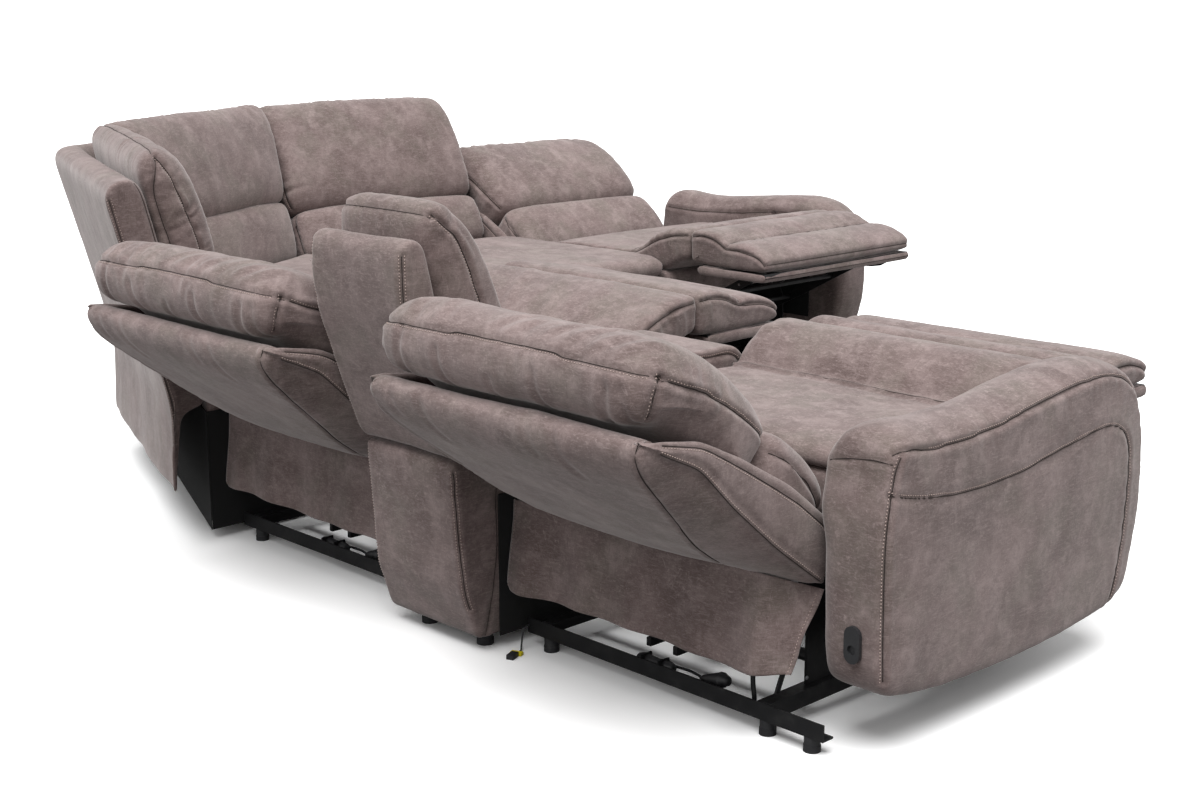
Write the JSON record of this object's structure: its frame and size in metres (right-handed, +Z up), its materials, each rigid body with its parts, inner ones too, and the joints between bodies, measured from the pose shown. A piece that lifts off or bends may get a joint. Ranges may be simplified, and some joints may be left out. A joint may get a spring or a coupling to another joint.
{
  "type": "reclining corner sofa",
  "caption": "L-shaped reclining corner sofa: recliners with sliding carriages and folding footrests, a corner wedge, an armless seat and a narrow console.",
  "frame": {"origin": "on the floor under the middle of the box round the whole sofa, lead left out", "axes": "+X along leg one, from the corner to the near arm; +Y the way the seats of leg one face, and along leg two; +Z up"},
  "size_m": [3.4502, 3.0836, 0.976],
  "materials": {
    "upholstery": "matte",
    "lining": "matte",
    "frame_steel": "satin",
    "black_plastic": "satin",
    "tag_plastic": "matte"
  },
  "bodies": {
    "frame": {"wedge_base": "upholstery", "wedge_seat_cushion": "upholstery", "wedge_back_shell": "upholstery", "wedge_near_back_cushion": "upholstery", "wedge_far_back_cushion": "upholstery", "armless_base": "upholstery", "armless_seat_cushion": "upholstery", "armless_back_shell": "upholstery", "armless_upper_cushion": "upholstery", "armless_lumbar_cushion": "upholstery", "console_body": "upholstery", "console_back_shell": "upholstery", "console_back_cushion": "upholstery", "near_base_frame": "frame_steel", "middle_base_frame": "frame_steel", "far_base_frame": "frame_steel", "lead": "black_plastic", "lead_tag": "tag_plastic", "lead_connector": "black_plastic"},
    "near_seat_body": {"near_carriage": "frame_steel", "near_drive_motor": "black_plastic", "near_seat_deck": "upholstery", "near_seat_cushion": "upholstery", "near_rear_skirt": "lining", "near_arm": "upholstery", "near_power_socket": "black_plastic"},
    "near_back_body": {"near_back_shell": "upholstery", "near_head_cushion": "upholstery", "near_lumbar_cushion": "upholstery"},
    "near_lower_links_body": {"near_lower_links": "frame_steel"},
    "near_upper_links_body": {"near_upper_links": "frame_steel"},
    "near_footrest_body": {"near_footrest_board": "upholstery", "near_footrest_pad": "upholstery"},
    "near_switch_body": {"near_switch": "black_plastic"},
    "middle_seat_body": {"middle_carriage": "frame_steel", "middle_drive_motor": "black_plastic", "middle_seat_deck": "upholstery", "middle_seat_cushion": "upholstery", "middle_rear_skirt": "lining"},
    "middle_back_body": {"middle_back_shell": "upholstery", "middle_head_cushion": "upholstery", "middle_lumbar_cushion": "upholstery"},
    "middle_lower_links_body": {"middle_lower_links": "frame_steel"},
    "middle_upper_links_body": {"middle_upper_links": "frame_steel"},
    "middle_footrest_body": {"middle_footrest_board": "upholstery", "middle_footrest_pad": "upholstery"},
    "far_seat_body": {"far_carriage": "frame_steel", "far_drive_motor": "black_plastic", "far_seat_deck": "upholstery", "far_seat_cushion": "upholstery", "far_rear_skirt": "lining", "far_arm": "upholstery"},
    "far_back_body": {"far_back_shell": "upholstery", "far_head_cushion": "upholstery", "far_lumbar_cushion": "upholstery"},
    "far_lower_links_body": {"far_lower_links": "frame_steel"},
    "far_upper_links_body": {"far_upper_links": "frame_steel"},
    "far_footrest_body": {"far_footrest_board": "upholstery", "far_footrest_pad": "upholstery"},
    "far_switch_body": {"far_switch": "black_plastic"}
  },
  "joints": [
    {"name": "near_carriage_slide", "type": "slide", "parent": "frame", "child": "near_seat_body", "axis": [0, 1, 0], "range_m": [-0.17, 0]},
    {"name": "near_recline", "type": "hinge", "parent": "near_seat_body", "child": "near_back_body", "pos_m": [1.18676, -1.0345, 0.336], "axis": [1, 0, 0], "range_deg": [-34, 0]},
    {"name": "near_footrest_lift", "type": "hinge", "parent": "near_seat_body", "child": "near_lower_links_body", "pos_m": [1.18676, -0.4562, 0.2598], "axis": [1, 0, 0], "range_deg": [-127.14, 0]},
    {"name": "near_footrest_knee", "type": "hinge", "parent": "near_lower_links_body", "child": "near_upper_links_body", "pos_m": [1.18676, -0.3125, 0.3297], "axis": [1, 0, 0], "range_deg": [0, 150.9]},
    {"name": "near_footrest_tilt", "type": "hinge", "parent": "near_upper_links_body", "child": "near_footrest_body", "pos_m": [1.18676, -0.0815, 0.452], "axis": [1, 0, 0], "range_deg": [-113.8, 0]},
    {"name": "near_switch_rock", "type": "hinge", "parent": "near_seat_body", "child": "near_switch_body", "pos_m": [1.57776, -0.5165, 0.548], "axis": [0, 0, 1], "range_deg": [-3.5, 3.5], "stiffness_Nm_per_rad": 0.6},
    {"name": "middle_carriage_slide", "type": "slide", "parent": "frame", "child": "middle_seat_body", "axis": [0, 1, 0], "range_m": [-0.17, 0]},
    {"name": "middle_recline", "type": "hinge", "parent": "middle_seat_body", "child": "middle_back_body", "pos_m": [0.12026, -1.0345, 0.336], "axis": [1, 0, 0], "range_deg": [-34, 0]},
    {"name": "middle_footrest_lift", "type": "hinge", "parent": "middle_seat_body", "child": "middle_lower_links_body", "pos_m": [0.12026, -0.4562, 0.2598], "axis": [1, 0, 0], "range_deg": [-127.14, 0]},
    {"name": "middle_footrest_knee", "type": "hinge", "parent": "middle_lower_links_body", "child": "middle_upper_links_body", "pos_m": [0.12026, -0.3125, 0.3297], "axis": [1, 0, 0], "range_deg": [0, 150.9]},
    {"name": "middle_footrest_tilt", "type": "hinge", "parent": "middle_upper_links_body", "child": "middle_footrest_body", "pos_m": [0.12026, -0.0815, 0.452], "axis": [1, 0, 0], "range_deg": [-113.8, 0]},
    {"name": "far_carriage_slide", "type": "slide", "parent": "frame", "child": "far_seat_body", "axis": [1, 0, 0], "range_m": [-0.17, 0]},
    {"name": "far_recline", "type": "hinge", "parent": "far_seat_body", "child": "far_back_body", "pos_m": [-1.13824, 1.0035, 0.336], "axis": [0, -1, 0], "range_deg": [-34, 0]},
    {"name": "far_footrest_lift", "type": "hinge", "parent": "far_seat_body", "child": "far_lower_links_body", "pos_m": [-0.55994, 1.0035, 0.2598], "axis": [0, -1, 0], "range_deg": [-127.14, 0]},
    {"name": "far_footrest_knee", "type": "hinge", "parent": "far_lower_links_body", "child": "far_upper_links_body", "pos_m": [-0.41624, 1.0035, 0.3297], "axis": [0, -1, 0], "range_deg": [0, 150.9]},
    {"name": "far_footrest_tilt", "type": "hinge", "parent": "far_upper_links_body", "child": "far_footrest_body", "pos_m": [-0.18524, 1.0035, 0.452], "axis": [0, -1, 0], "range_deg": [-113.8, 0]},
    {"name": "far_switch_rock", "type": "hinge", "parent": "far_seat_body", "child": "far_switch_body", "pos_m": [-0.62024, 1.3945, 0.548], "axis": [0, 0, 1], "range_deg": [-3.5, 3.5], "stiffness_Nm_per_rad": 0.6}
  ],
  "couplings": [
    {"joint": "near_recline", "follows": "near_carriage_slide", "rad_per_m": 3.49},
    {"joint": "near_footrest_knee", "follows": "near_footrest_lift", "ratio": -1.1865},
    {"joint": "near_footrest_tilt", "follows": "near_footrest_lift", "ratio": 0.89433},
    {"joint": "middle_recline", "follows": "middle_carriage_slide", "rad_per_m": 3.49},
    {"joint": "middle_footrest_knee", "follows": "middle_footrest_lift", "ratio": -1.1865},
    {"joint": "middle_footrest_tilt", "follows": "middle_footrest_lift", "ratio": 0.89433},
    {"joint": "far_recline", "follows": "far_carriage_slide", "rad_per_m": 3.49},
    {"joint": "far_footrest_knee", "follows": "far_footrest_lift", "ratio": -1.1865},
    {"joint": "far_footrest_tilt", "follows": "far_footrest_lift", "ratio": 0.89433}
  ]
}
